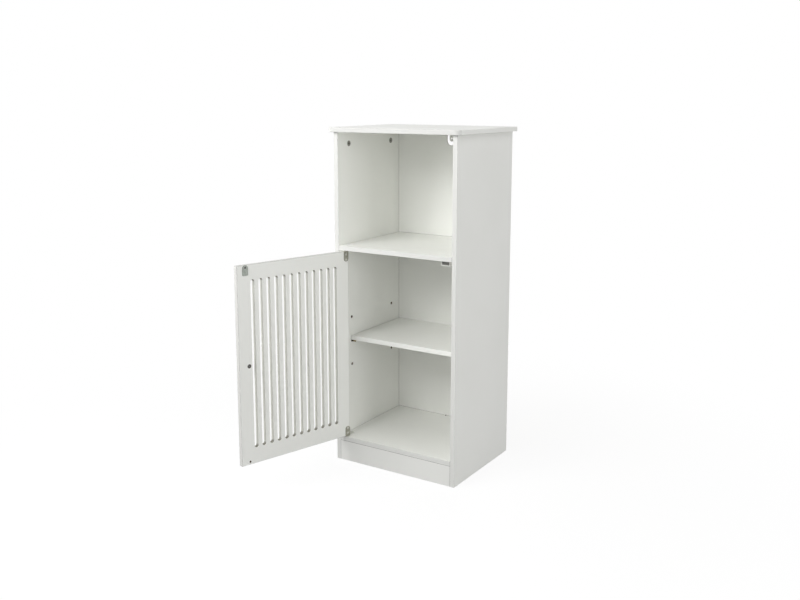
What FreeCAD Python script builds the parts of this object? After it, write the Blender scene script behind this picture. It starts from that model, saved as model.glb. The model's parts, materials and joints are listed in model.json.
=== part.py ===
import FreeCAD
import Part
import collections
import math
import os

# Slatted-door cabinet in laminated 12 mm board, millimetres, +X to the right, +Y to the back, +Z up.
# The origin is on the floor, in the cabinet's middle plane, under the middle of the plinth's foot.
# The door is drawn open, turned about its pivot by door_open_angle.

# ---- boards ----
board = 12.0
overall_height = 870.0
body_width = 354.0
body_depth = 288.0
plinth_height = 53.0
open_bay_height = 286.0
board_easing = 0.6

# ---- top panel ----
top_side_overhang = 13.0
top_front_overhang = 12.0
top_corner_radius = 13.0
top_easing = 1.5

# ---- back panel, in grooves of the sides and the bottom ----
back_thickness = 3.0
back_setback = 2.0
groove_depth = 5.0
groove_play = 0.1
back_pin_offset = -8.0
back_pin_radius = 1.0
back_pin_length = 9.0
back_pin_head_radius = 1.8
back_pin_head_height = 1.0

# ---- adjustable shelf and its pins ----
shelf_side_gap = 1.5
shelf_back_gap = 0.5
shelf_front_setback = 50.0
shelf_pin_radius = 2.5
shelf_pin_embedded = 7.5
shelf_pin_length = 19.5
shelf_pin_chamfer = 0.4
pin_hole_extra = 0.5
pin_hole_height = 311.0
pin_hole_pitch = 64.0
pin_rows = (-1, 0, 1)
pin_front_setback = 54.0
pin_column_spacing = 190.0

# ---- knock-down fittings: cams, cam bolts and dowels ----
cam_radius = 7.4
cam_height = 9.3
cam_setback = 30.0
cam_front_inset = 48.0
cam_column_spacing = 194.0
cam_bolt_thread_radius = 2.5
cam_bolt_thread_length = 8.0
cam_bolt_collar_radius = 3.5
cam_bolt_collar_length = 1.0
cam_bolt_shaft_radius = 2.0
cam_bolt_head_radius = 3.0
cam_bolt_head_length = 2.4
cam_cross_length = 7.0
cam_cross_width = 1.6
cam_cross_depth = 2.0
dowel_radius = 3.0
dowel_in_face = 8.0
dowel_in_edge = 20.0
dowel_offset = 32.0
dowel_chamfer = 0.8
bore_play = 0.1
bore_end_play = 0.5
plinth_cam_height = 36.0
plinth_dowel_height = 14.0

# ---- door ----
door_side_gap = 2.0
door_open_angle = 106.6
door_easing = 0.8
slot_width = 11.0
slot_pitch = 22.0
slot_edge_inset = 42.0
slot_top_margin = 36.0
slot_bottom_margin = 39.0

# ---- pivot hinges ----
hinge_gauge = 1.0
hinge_play = 0.2
pivot_inset = 9.2
pivot_depth = 4.2
pivot_radius = 1.5
pivot_fit = 0.05
pivot_head_radius = 2.6
pivot_head_height = 0.8
pivot_relief_play = 0.4
tab_margin = 3.2
leaf_bend_radius = 0.8
door_leaf_width = 14.0
door_leaf_length = 27.0
door_leaf_first_screw = 7.8
cabinet_leaf_width = 17.0
cabinet_leaf_length = 40.0
cabinet_leaf_front_inset = 0.5
cabinet_leaf_first_screw = 21.5
hinge_screw_pitch = 13.5

# ---- small wood screws ----
screw_radius = 1.5
screw_length = 9.5
screw_head_radius = 2.9
screw_head_height = 1.4
screw_tip_length = 2.0
screw_cross_length = 3.4
screw_cross_width = 0.6
screw_cross_depth = 0.7
screw_fit = 0.02

# ---- magnetic catch and its strike plate ----
strike_margin = 22.8
strike_width = 15.4
strike_length = 25.0
strike_gauge = 1.0
strike_foot_radius = 2.0
strike_screw_drop = 5.8
strike_pilot_drop = 7.0
catch_gap = 0.2
catch_width = 24.5
catch_height = 13.0
catch_depth = 16.0
catch_wall = 1.8
catch_corner_radius = 2.0
catch_pole_gauge = 1.2
catch_pole_proud = 0.6
catch_pole_end_gap = 0.3
catch_magnet_setback = 1.0
catch_flange_depth = 10.0
catch_flange_gauge = 2.0
catch_screw_spacing = 14.0

# ---- knob ----
knob_margin = 27.4
knob_projection = 18.0
knob_foot_radius = 7.0
knob_foot_height = 1.5
knob_neck_radius = 5.0
knob_neck_height = 6.5
knob_cap_radius = 12.0
knob_rim_height = 13.0
knob_rim_width = 1.2
knob_flare = 0.3
knob_thread_depth = 9.0
knob_screw_radius = 2.0
knob_screw_length = 17.0
knob_screw_head_radius = 3.8
knob_screw_head_height = 2.2
knob_recess_radius = 5.0
knob_recess_depth = 2.5

# ---- wall bracket in the notch of the back panel ----
notch_width = 25.0
notch_depth = 41.0
bracket_width = 13.0
bracket_gauge = 1.5
bracket_leg = 31.0
bracket_foot = 30.0
bracket_bend_radius = 1.2
bracket_hole_radius = 2.25
bracket_hole_margin = 8.0
bracket_screw_margin = 9.0

# ---- planes that follow from the sizes above ----
front_y = -board / 2
rear_y = front_y + body_depth
back_front_y = rear_y - back_setback - back_thickness
outer_x = body_width / 2
inner_x = outer_x - board
underside_z = overall_height - board
bottom_z = plinth_height + board
fixed_shelf_z = underside_z - open_bay_height
door_roof_z = fixed_shelf_z - board
door_gap = 2 * hinge_gauge + hinge_play
door_bottom_z = bottom_z + door_gap
door_top_z = door_roof_z - door_gap
door_width = 2 * inner_x - 2 * door_side_gap
door_edge_x = door_side_gap - inner_x
slot_spread = door_width - 2 * slot_edge_inset
slot_gaps = round(slot_spread / slot_pitch)
strike_x = door_edge_x + door_width - strike_margin
knob_x = door_edge_x + door_width - knob_margin
door_inner_y = front_y + board
shelf_underside_z = pin_hole_height + shelf_pin_radius
cam_columns = (front_y + cam_front_inset, front_y + cam_front_inset + cam_column_spacing)
dowel_columns = (cam_columns[0] + dowel_offset, cam_columns[1] - dowel_offset)
pin_columns = (front_y + pin_front_setback, front_y + pin_front_setback + pin_column_spacing)

SIDES = {"left": -1, "right": 1}
UP = FreeCAD.Vector(0, 0, 1)
DOWN = FreeCAD.Vector(0, 0, -1)
BACK = FreeCAD.Vector(0, 1, 0)
FRONT = FreeCAD.Vector(0, -1, 0)

pivot = FreeCAD.Vector(door_edge_x + pivot_inset, front_y + pivot_depth, 0)

# A fixing joins the edge of one board to the face of another. Its seat is on the face, run points
# from the face into the edge board, and face points out of the side where the cam is turned.
Fixing = collections.namedtuple("Fixing", "side seat run face")


def vector(x, y, z):
    return FreeCAD.Vector(x, y, z)


def block(x, y, z):
    """A box between pairs of planes, each pair given low end first."""
    return Part.makeBox(x[1] - x[0], y[1] - y[0], z[1] - z[0], vector(x[0], y[0], z[0]))


def rod(radius, start, direction, length):
    return Part.makeCylinder(radius, length, start, direction)


def placed(shape, position, direction):
    """A copy of a shape drawn along +Z, turned to point along direction and moved to position."""
    turn = FreeCAD.Rotation(UP, direction)
    return shape.transformed(FreeCAD.Placement(position, turn).toMatrix())


def cross_recess(length, width, depth):
    """The two crossed grooves of a driver recess, sunk into a head whose face is at z = 0."""
    half = length / 2
    one = block((-half, half), (-width / 2, width / 2), (-depth, 0))
    other = block((-width / 2, width / 2), (-half, half), (-depth, 0))
    return one.fuse(other)


def revolved(outline):
    """A solid turned about Z from (radius, height) points, the first and last of them on the axis."""
    points = [vector(radius, 0, height) for radius, height in outline]
    face = Part.Face(Part.makePolygon(points + points[:1]))
    return face.revolve(vector(0, 0, 0), UP, 360)


def span(edge, axis):
    """The edge's lowest and highest value along an axis, 0 to 2."""
    box = edge.BoundBox
    return ((box.XMin, box.XMax), (box.YMin, box.YMax), (box.ZMin, box.ZMax))[axis]


def lies_at(edge, axis, value):
    """Whether the whole edge has one value along an axis."""
    return all(math.isclose(end, value, abs_tol=1e-4) for end in span(edge, axis))


def on_line(edge, y, z):
    """Whether the edge runs along X at one y and one z."""
    return lies_at(edge, 1, y) and lies_at(edge, 2, z)


def runs_along(edge, axis):
    """Whether the edge is straight along one axis, 0 to 2."""
    low, high = span(edge, axis)
    return math.isclose(high - low, edge.Length, abs_tol=1e-4)


def eased(shape, radius, wanted):
    """The shape with its wanted edges rounded."""
    return shape.makeFillet(radius, [edge for edge in shape.Edges if wanted(edge)])


def eased_board(x, y, z):
    """A board whose two longest front edges are eased, as its edge band is."""
    shape = block(x, y, z)
    longest = max(edge.Length for edge in shape.Edges if lies_at(edge, 1, y[0]))
    return eased(shape, board_easing, lambda edge: lies_at(edge, 1, y[0]) and edge.Length == longest)


def swung(shape):
    """A piece of the door, drawn with the door shut, turned open about the pivot."""
    turned = shape.copy()
    turned.rotate(pivot, UP, -door_open_angle)
    return turned


def tongue(width, length, gauge):
    """A flat strip from z = 0 up, running along +Y from the origin, with a full round far end."""
    half = width / 2
    straight = length - half
    corners = [(-half, straight), (-half, 0), (half, 0), (half, straight)]
    points = [vector(x, y, 0) for x, y in corners]
    round_end = Part.Arc(points[-1], vector(0, length, 0), points[0]).toShape()
    outline = Part.Wire([*Part.makePolygon(points).Edges, round_end])
    return Part.Face(outline).extrude(UP * gauge)


def hanging_tongue(width, length, gauge):
    """The same strip hanging from z = 0, its gauge from y = 0 to the back."""
    return placed(tongue(width, length, gauge), vector(0, 0, 0), BACK)


# ---- fixings of the boards ----

def board_fixings(columns, height):
    """Fixings of a flat board's two ends, in the sides, seen from below."""
    return [
        Fixing(side, vector(side * inner_x, y, height), vector(-side, 0, 0), DOWN)
        for side in SIDES.values()
        for y in columns
    ]


def top_fixings(columns):
    middle_x = outer_x - board / 2
    return [
        Fixing(side, vector(side * middle_x, y, underside_z), DOWN, vector(-side, 0, 0))
        for side in SIDES.values()
        for y in columns
    ]


def plinth_fixings(height):
    return [
        Fixing(side, vector(side * inner_x, front_y + board / 2, height), vector(-side, 0, 0), BACK)
        for side in SIDES.values()
    ]


CAMS = {
    "top": top_fixings(cam_columns),
    "shelf": board_fixings(cam_columns, fixed_shelf_z - board / 2),
    "bottom": board_fixings(cam_columns, bottom_z - board / 2),
    "plinth": plinth_fixings(plinth_cam_height),
}
DOWELS = {
    "top": top_fixings(dowel_columns),
    "shelf": board_fixings(dowel_columns, fixed_shelf_z - board / 2),
    "bottom": board_fixings(dowel_columns, bottom_z - board / 2),
    "plinth": plinth_fixings(plinth_dowel_height),
}


def cam_face(fixing):
    """The point where the cam's axis leaves the board's face."""
    return fixing.seat + fixing.run * cam_setback + fixing.face * (board / 2)


def face_bores(group, side=None):
    """Holes that a joint's bolts and dowels need in the board whose face they enter."""
    bolts = [
        rod(cam_bolt_thread_radius + bore_play, f.seat, -f.run, cam_bolt_thread_length + bore_end_play)
        for f in CAMS[group]
        if side in (None, f.side)
    ]
    dowels = [
        rod(dowel_radius + bore_play, f.seat, -f.run, dowel_in_face + bore_end_play)
        for f in DOWELS[group]
        if side in (None, f.side)
    ]
    return bolts + dowels


def edge_bores(group, side=None):
    """Holes that a joint's cams, bolts and dowels need in the board whose edge they enter."""
    tools = []
    for f in CAMS[group]:
        if side in (None, f.side):
            tools.append(rod(cam_bolt_collar_radius + bore_play, f.seat, f.run, cam_setback))
            tools.append(rod(cam_radius + bore_play, cam_face(f), -f.face, cam_height + bore_end_play))
    for f in DOWELS[group]:
        if side in (None, f.side):
            tools.append(rod(dowel_radius + bore_play, f.seat, f.run, dowel_in_edge + bore_end_play))
    return tools


def cam_lock(fixing):
    """A cam: a disc with a driver cross in its face and a socket that grips the bolt's head."""
    disc = rod(cam_radius, vector(0, 0, -cam_height), UP, cam_height)
    disc = disc.cut(cross_recess(cam_cross_length, cam_cross_width, cam_cross_depth))
    disc = placed(disc, cam_face(fixing), fixing.face)
    mouth = cam_bolt_head_radius + bore_play
    centre = fixing.seat + fixing.run * cam_setback
    back_of_socket = centre + fixing.run * (cam_bolt_head_radius + bore_play)
    return disc.cut(rod(mouth, back_of_socket, -fixing.run, cam_radius + cam_bolt_head_radius + bore_play))


def cam_bolt(fixing):
    """A bolt screwed into a board's face, with a collar on the face and its head inside the cam."""
    head_start = cam_setback - cam_bolt_head_length / 2
    outline = [
        (0, -cam_bolt_thread_length),
        (cam_bolt_thread_radius, -cam_bolt_thread_length),
        (cam_bolt_thread_radius, 0),
        (cam_bolt_collar_radius, 0),
        (cam_bolt_collar_radius, cam_bolt_collar_length),
        (cam_bolt_shaft_radius, cam_bolt_collar_length),
        (cam_bolt_shaft_radius, head_start),
        (cam_bolt_head_radius, head_start),
        (cam_bolt_head_radius, head_start + cam_bolt_head_length),
        (0, head_start + cam_bolt_head_length),
    ]
    return placed(revolved(outline), fixing.seat, fixing.run)


def dowel(fixing):
    """A round wooden dowel with chamfered ends."""
    outline = [
        (0, -dowel_in_face),
        (dowel_radius - dowel_chamfer, -dowel_in_face),
        (dowel_radius, dowel_chamfer - dowel_in_face),
        (dowel_radius, dowel_in_edge - dowel_chamfer),
        (dowel_radius - dowel_chamfer, dowel_in_edge),
        (0, dowel_in_edge),
    ]
    return placed(revolved(outline), fixing.seat, fixing.run)


# ---- small wood screws ----

def screw_body(play):
    """A countersunk screw along -Z with its head's face at z = 0, or with play the hole it needs."""
    return revolved([
        (0, 0),
        (screw_head_radius + play, 0),
        (screw_radius + play, -screw_head_height - play),
        (screw_radius + play, screw_tip_length - screw_length),
        (0, -screw_length - play),
    ])


def wood_screw(seat, outward):
    """A screw whose head's face is at seat and looks outward."""
    recess = cross_recess(screw_cross_length, screw_cross_width, screw_cross_depth)
    return placed(screw_body(0).cut(recess), seat, outward)


def screw_hole(seat, outward):
    return placed(screw_body(screw_fit), seat, outward)


# ---- pivot hinges, one at the top of the door (end 1) and one at its foot (end -1) ----

Hinge = collections.namedtuple("Hinge", "end mount_z door_z")
HINGES = {
    "upper": Hinge(1, door_roof_z, door_top_z),
    "lower": Hinge(-1, bottom_z, door_bottom_z),
}


def leaf_seats(hinge):
    """Where the cabinet leaf's screw heads lie, on the leaf's face."""
    x = -inner_x + cabinet_leaf_width / 2
    y = front_y + cabinet_leaf_front_inset + cabinet_leaf_first_screw
    z = hinge.mount_z - hinge.end * hinge_gauge
    return [vector(x, y + step * hinge_screw_pitch, z) for step in range(2)]


def door_leaf_seats(hinge):
    """Where the door leaf's screw heads lie, on the leaf's face, with the door shut."""
    x = door_edge_x + door_leaf_width / 2
    z = hinge.door_z - hinge.end * door_leaf_first_screw
    y = door_inner_y + hinge_gauge
    return [vector(x, y, z - hinge.end * step * hinge_screw_pitch) for step in range(2)]


def cabinet_leaf(hinge):
    """The flat leaf screwed to the shelf above or the bottom below, with the pivot's hole."""
    leaf = tongue(cabinet_leaf_width, cabinet_leaf_length, hinge_gauge)
    low_z = min(hinge.mount_z, hinge.mount_z - hinge.end * hinge_gauge)
    leaf.translate(vector(cabinet_leaf_width / 2 - inner_x, front_y + cabinet_leaf_front_inset, low_z))
    hole = rod(pivot_radius + pivot_fit, pivot + UP * low_z, UP, hinge_gauge)
    screws = [screw_hole(seat, DOWN * hinge.end) for seat in leaf_seats(hinge)]
    return leaf.cut([hole, *screws])


def door_leaf(hinge):
    """The bent leaf: a tongue on the door's inner face and a tab over the door's edge."""
    upright = hanging_tongue(door_leaf_width, door_leaf_length, hinge_gauge)
    half = door_leaf_width / 2
    tab_reach = board - pivot_depth + tab_margin
    tab = block((-half, half), (-tab_reach, hinge_gauge), (-hinge_gauge, 0))
    leaf = upright.fuse(tab).removeSplitter()
    leaf = eased(leaf, leaf_bend_radius, lambda edge: on_line(edge, hinge_gauge, 0))
    leaf.translate(vector(door_edge_x + half, door_inner_y, door_top_z + hinge_gauge))
    if hinge.end < 0:
        leaf = leaf.mirror(vector(0, 0, (door_top_z + door_bottom_z) / 2), UP)
    hole = rod(pivot_radius + pivot_fit, pivot + UP * hinge.door_z, UP * hinge.end, hinge_gauge)
    screws = [screw_hole(seat, BACK) for seat in door_leaf_seats(hinge)]
    return swung(leaf.cut([hole, *screws]))


def hinge_pin(hinge):
    """The rivet that joins the two leaves: it is fast in the cabinet leaf, and its head is under the tab."""
    shank = 2 * hinge_gauge + hinge_play + pivot_fit
    outline = [
        (0, 0),
        (pivot_radius, 0),
        (pivot_radius, shank),
        (pivot_head_radius, shank),
        (pivot_head_radius, shank + pivot_head_height),
        (0, shank + pivot_head_height),
    ]
    return placed(revolved(outline), pivot + UP * hinge.mount_z, DOWN * hinge.end)


def pivot_relief(hinge):
    """The shallow bore in the door's edge that the rivet's head sits in."""
    depth = pivot_head_height + pivot_relief_play
    return rod(pivot_head_radius + pivot_relief_play, pivot + UP * hinge.door_z, DOWN * hinge.end, depth)


# ---- boards ----

def top_panel():
    x = outer_x + top_side_overhang
    front = front_y - top_front_overhang
    shape = block((-x, x), (front, rear_y), (underside_z, overall_height))
    shape = eased(shape, top_corner_radius, lambda edge: lies_at(edge, 1, front) and runs_along(edge, 2))
    shape = eased(shape, top_easing, lambda edge: not (runs_along(edge, 2) or lies_at(edge, 1, rear_y)))
    return shape.cut([*face_bores("top"), screw_hole(bracket_screw_seat(), DOWN)])


def groove_span():
    """The front and rear planes of the groove that holds the back panel."""
    return back_front_y - groove_play, back_front_y + back_thickness + groove_play


def side_panel(side):
    x = sorted((side * inner_x, side * outer_x))
    shape = eased_board(x, (front_y, rear_y), (0, underside_z))
    groove_x = sorted((side * inner_x, side * (inner_x + groove_depth)))
    groove = block(groove_x, groove_span(), (bottom_z - groove_depth, underside_z))
    pin_holes = [
        rod(shelf_pin_radius + bore_play, vector(side * inner_x, y, pin_hole_height + row * pin_hole_pitch),
            vector(side, 0, 0), shelf_pin_embedded + pin_hole_extra)
        for y in pin_columns
        for row in pin_rows
    ]
    tools = [groove, *pin_holes, *edge_bores("top", side)]
    for group in ("shelf", "bottom", "plinth"):
        tools += face_bores(group, side)
    return shape.cut(tools)


def fixed_shelf():
    shape = eased_board((-inner_x, inner_x), (front_y, back_front_y), (door_roof_z, fixed_shelf_z))
    screws = [screw_hole(seat, DOWN) for seat in leaf_seats(HINGES["upper"]) + catch_screw_seats()]
    return shape.cut([*edge_bores("shelf"), *screws])


def bottom_panel():
    shape = eased_board((-inner_x, inner_x), (front_y, rear_y), (plinth_height, bottom_z))
    groove = block((-inner_x, inner_x), groove_span(), (bottom_z - groove_depth, bottom_z))
    screws = [screw_hole(seat, UP) for seat in leaf_seats(HINGES["lower"])]
    pin = rod(back_pin_radius + screw_fit, back_pin_seat(), DOWN, back_pin_length)
    return shape.cut([groove, pin, *edge_bores("bottom"), *screws])


def plinth():
    shape = eased_board((-inner_x, inner_x), (front_y, front_y + board), (0, plinth_height))
    return shape.cut(edge_bores("plinth"))


def back_panel():
    """The thin back, with a round-bottomed notch at the top for the wall bracket."""
    x = inner_x + groove_depth - groove_play
    y = (back_front_y, back_front_y + back_thickness)
    shape = block((-x, x), y, (bottom_z - groove_depth + groove_play, underside_z))
    notch_radius = notch_width / 2
    round_z = underside_z - notch_depth + notch_radius
    slot = block((-notch_radius, notch_radius), y, (round_z, underside_z))
    end = rod(notch_radius, vector(0, back_front_y, round_z), BACK, back_thickness)
    return shape.cut([slot, end])


def back_pin_seat():
    """The point on the bottom panel where the back's retaining pin stands, its head against the back."""
    return vector(back_pin_offset, back_front_y - back_pin_head_radius, bottom_z)


def back_panel_pin():
    shank = rod(back_pin_radius, back_pin_seat(), DOWN, back_pin_length)
    head = rod(back_pin_head_radius, back_pin_seat(), UP, back_pin_head_height)
    return shank.fuse(head).removeSplitter()


def adjustable_shelf():
    x = inner_x - shelf_side_gap
    y = (front_y + shelf_front_setback, back_front_y - shelf_back_gap)
    return eased_board((-x, x), y, (shelf_underside_z, shelf_underside_z + board))


def shelf_pin(side, y):
    start = vector(side * (inner_x + shelf_pin_embedded), y, pin_hole_height)
    pin = rod(shelf_pin_radius, start, vector(-side, 0, 0), shelf_pin_length)
    return pin.makeChamfer(shelf_pin_chamfer, [edge for edge in pin.Edges if edge.isClosed()])


# ---- door ----

def slot_cutters():
    """The upright slots with round ends, evenly spread between the door's edges at about the slot pitch."""
    radius = slot_width / 2
    low_z = door_bottom_z + slot_bottom_margin + radius
    high_z = door_top_z - slot_top_margin - radius
    cutters = []
    for index in range(slot_gaps + 1):
        x = door_edge_x + slot_edge_inset + index * slot_spread / slot_gaps
        straight = block((x - radius, x + radius), (front_y, door_inner_y), (low_z, high_z))
        ends = [rod(radius, vector(x, front_y, z), BACK, board) for z in (low_z, high_z)]
        cutters.append(straight.fuse(ends).removeSplitter())
    return cutters


def door():
    """The flat door with its slots, drilled for its knob, strike plate and hinges."""
    x = (door_edge_x, door_edge_x + door_width)
    faces = (front_y, door_inner_y)
    shape = block(x, faces, (door_bottom_z, door_top_z)).cut(slot_cutters())
    shape = eased(shape, door_easing, lambda edge: any(lies_at(edge, 1, face) for face in faces))
    knob_hole = rod(knob_screw_radius + bore_play, knob_centre(), BACK, board)
    recess_floor = vector(knob_centre().x, door_inner_y - knob_recess_depth, knob_centre().z)
    recess = rod(knob_recess_radius, recess_floor, BACK, knob_recess_depth)
    tools = [knob_hole, recess, screw_hole(strike_screw_seat(), BACK), screw_hole(spare_pilot_seat(), BACK)]
    for hinge in HINGES.values():
        tools += [screw_hole(seat, BACK) for seat in door_leaf_seats(hinge)]
        tools.append(pivot_relief(hinge))
    return swung(shape.cut(tools))


# ---- magnetic catch ----

def strike_screw_seat():
    return vector(strike_x, door_inner_y + strike_gauge, door_top_z - strike_screw_drop)


def spare_pilot_seat():
    """The same screw's hole at the door's foot, for a door that is hung on the other side."""
    return vector(strike_x, door_inner_y + strike_gauge, door_bottom_z + strike_pilot_drop)


def strike_plate():
    """The steel plate on the door that the magnet holds, round at its top end."""
    plate = hanging_tongue(strike_width, strike_length, strike_gauge).mirror(vector(0, 0, 0), UP)
    middle = strike_width / 2
    plate = eased(plate, strike_foot_radius, lambda edge: lies_at(edge, 2, 0) and edge.Length < middle)
    plate.translate(vector(strike_x, door_inner_y, door_top_z - strike_length))
    return swung(plate.cut(screw_hole(strike_screw_seat(), BACK)))


def catch_span():
    """The catch's sides: it is centred on the strike plate of the shut door."""
    return strike_x - catch_width / 2, strike_x + catch_width / 2


def catch_front_y():
    """The plane of the plastic rim, behind the shut door and the pole plates."""
    return door_inner_y + strike_gauge + catch_gap + catch_pole_proud


def catch_screw_seats():
    y = catch_front_y() + catch_depth + catch_flange_depth / 2
    z = door_roof_z - catch_flange_gauge
    return [vector(strike_x + half * catch_screw_spacing / 2, y, z) for half in SIDES.values()]


def catch_housing():
    """The plastic case with a pocket that opens to the front, and a screw flange behind it."""
    x = catch_span()
    y = catch_front_y()
    rear = y + catch_depth
    foot_z = door_roof_z - catch_height
    case = block(x, (y, rear), (foot_z, door_roof_z))
    case = eased(case, catch_corner_radius, lambda edge: lies_at(edge, 2, foot_z) and runs_along(edge, 1))
    flange = block(x, (rear, rear + catch_flange_depth), (door_roof_z - catch_flange_gauge, door_roof_z))
    pocket = block((x[0] + catch_wall, x[1] - catch_wall), (y, rear - catch_wall), pocket_span())
    screws = [screw_hole(seat, DOWN) for seat in catch_screw_seats()]
    return case.fuse(flange).removeSplitter().cut([pocket, *screws])


def pocket_span():
    """The lower and upper planes of the pocket in the case."""
    return door_roof_z - catch_height + catch_wall, door_roof_z - catch_wall


def in_pocket(front, low, high):
    """A block as wide and as deep as the pocket takes, between a front plane and two heights."""
    x = catch_span()
    margin = catch_wall + catch_pole_end_gap
    rear = catch_front_y() + catch_depth - catch_wall
    return block((x[0] + margin, x[1] - margin), (front, rear), (low, high))


def catch_pole_plates():
    """The two steel plates that carry the magnet's pull to the strike plate."""
    low, high = pocket_span()
    front = catch_front_y() - catch_pole_proud
    return [
        in_pocket(front, low, low + catch_pole_gauge),
        in_pocket(front, high - catch_pole_gauge, high),
    ]


def catch_magnet():
    """The magnet between the pole plates."""
    low, high = pocket_span()
    return in_pocket(catch_front_y() + catch_magnet_setback, low + catch_pole_gauge, high - catch_pole_gauge)


# ---- knob ----

def knob_centre():
    return vector(knob_x, front_y, (door_top_z + door_bottom_z) / 2)


def knob():
    """A turned knob on the door's outer face, drawn along +Z and turned to the front."""
    points = [vector(radius, 0, height) for radius, height in (
        (0, 0),
        (knob_foot_radius, 0),
        (knob_foot_radius, knob_foot_height),
        (knob_neck_radius, knob_neck_height),
        (knob_cap_radius, knob_rim_height),
        (knob_cap_radius, knob_rim_height + knob_rim_width),
        (0, knob_projection),
    )]
    axis_start, foot, foot_top, neck, rim, rim_top, crown = points
    flare = vector((neck.x + rim.x) / 2, 0, rim.z - (rim.z - neck.z) * knob_flare)
    dome_rise = crown.z - rim_top.z
    dome_radius = (rim_top.x**2 + dome_rise**2) / (2 * dome_rise)
    half_way = math.asin(rim_top.x / dome_radius) / 2
    dome_drop = dome_radius * (1 - math.cos(half_way))
    dome = vector(dome_radius * math.sin(half_way), 0, crown.z - dome_drop)
    edges = [
        Part.makeLine(axis_start, foot),
        Part.makeLine(foot, foot_top),
        Part.makeLine(foot_top, neck),
        Part.Arc(neck, flare, rim).toShape(),
        Part.makeLine(rim, rim_top),
        Part.Arc(rim_top, dome, crown).toShape(),
        Part.makeLine(crown, axis_start),
    ]
    body = Part.Face(Part.Wire(edges)).revolve(vector(0, 0, 0), UP, 360)
    body = body.cut(rod(knob_screw_radius + screw_fit, vector(0, 0, 0), UP, knob_thread_depth))
    return swung(placed(body, knob_centre(), FRONT))


def knob_screw():
    """The machine screw that comes through the door from its recess into the knob."""
    outline = [
        (0, 0),
        (knob_screw_head_radius, 0),
        (knob_screw_head_radius, knob_screw_head_height),
        (0, knob_screw_head_height),
    ]
    shank = rod(knob_screw_radius, vector(0, 0, 0), DOWN, knob_screw_length)
    cross = cross_recess(screw_cross_length, screw_cross_width, screw_cross_depth)
    cross.translate(UP * knob_screw_head_height)
    screw = revolved(outline).fuse(shank).removeSplitter().cut(cross)
    seat = vector(knob_centre().x, door_inner_y - knob_recess_depth, knob_centre().z)
    return swung(placed(screw, seat, BACK))


# ---- wall bracket ----

def bracket_screw_seat():
    return vector(0, rear_y - bracket_foot + bracket_screw_margin, underside_z - bracket_gauge)


def wall_bracket():
    """An angle with one leg down the rear plane, behind the notch, and one under the top panel."""
    leg = hanging_tongue(bracket_width, bracket_leg, bracket_gauge)
    leg.translate(vector(0, rear_y - bracket_gauge, underside_z))
    foot = tongue(bracket_width, bracket_foot, bracket_gauge)
    foot.rotate(vector(0, 0, 0), UP, 180)
    foot.translate(vector(0, rear_y, underside_z - bracket_gauge))
    angle = leg.fuse(foot).removeSplitter()
    angle = eased(angle, bracket_bend_radius, lambda edge: on_line(edge, rear_y, underside_z))
    hole_z = underside_z - bracket_leg + bracket_hole_margin
    hole = rod(bracket_hole_radius, vector(0, rear_y - bracket_gauge, hole_z), BACK, bracket_gauge)
    return angle.cut([hole, screw_hole(bracket_screw_seat(), DOWN)])


# ---- the whole assembly ----

def assembly():
    """Every sub-part by its node's name."""
    nodes = {
        "top_panel": top_panel(),
        "left_side_panel": side_panel(SIDES["left"]),
        "right_side_panel": side_panel(SIDES["right"]),
        "fixed_shelf": fixed_shelf(),
        "bottom_panel": bottom_panel(),
        "plinth": plinth(),
        "back_panel": back_panel(),
        "back_panel_pin": back_panel_pin(),
        "adjustable_shelf": adjustable_shelf(),
        "shelf_pins": [shelf_pin(side, y) for side in SIDES.values() for y in pin_columns],
        "door": door(),
        "strike_plate": strike_plate(),
        "strike_screw": swung(wood_screw(strike_screw_seat(), BACK)),
        "knob": knob(),
        "knob_screw": knob_screw(),
        "catch_housing": catch_housing(),
        "catch_pole_plates": catch_pole_plates(),
        "catch_magnet": catch_magnet(),
        "catch_screws": [wood_screw(seat, DOWN) for seat in catch_screw_seats()],
        "wall_bracket": wall_bracket(),
        "wall_bracket_screw": wood_screw(bracket_screw_seat(), DOWN),
    }
    for name, hinge in HINGES.items():
        inward = DOWN * hinge.end
        nodes[f"{name}_hinge_cabinet_leaf"] = cabinet_leaf(hinge)
        nodes[f"{name}_hinge_door_leaf"] = door_leaf(hinge)
        nodes[f"{name}_hinge_pin"] = hinge_pin(hinge)
        nodes[f"{name}_hinge_cabinet_screws"] = [wood_screw(seat, inward) for seat in leaf_seats(hinge)]
        nodes[f"{name}_hinge_door_screws"] = [
            swung(wood_screw(seat, BACK))
            for seat in door_leaf_seats(hinge)
        ]
    for group in CAMS:
        nodes[f"{group}_cam_locks"] = [cam_lock(fixing) for fixing in CAMS[group]]
        nodes[f"{group}_cam_bolts"] = [cam_bolt(fixing) for fixing in CAMS[group]]
        nodes[f"{group}_dowels"] = [dowel(fixing) for fixing in DOWELS[group]]
    return nodes


def main():
    os.makedirs("parts", exist_ok=True)
    for name, shape in assembly().items():
        if isinstance(shape, list):
            shape = Part.makeCompound(shape)
        shape.exportStep(f"parts/{name}.step")


main()
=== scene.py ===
"""Slatted door cabinet: finishes for its boards and fittings, and a plain studio around it."""

import json
import math

import bpy
from bpy.props import FloatProperty, FloatVectorProperty, PointerProperty
from mathutils import Matrix, Vector


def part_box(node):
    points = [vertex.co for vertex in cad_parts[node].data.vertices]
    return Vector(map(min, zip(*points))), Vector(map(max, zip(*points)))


bl_info = {
    "name": "Slatted Door Cabinet",
    "version": (1, 0, 0),
    "blender": (4, 5, 0),
    "location": "View3D > Sidebar > Cabinet",
    "description": "Finishes, fittings and studio for a slatted door cabinet",
    "category": "Object",
}

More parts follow.
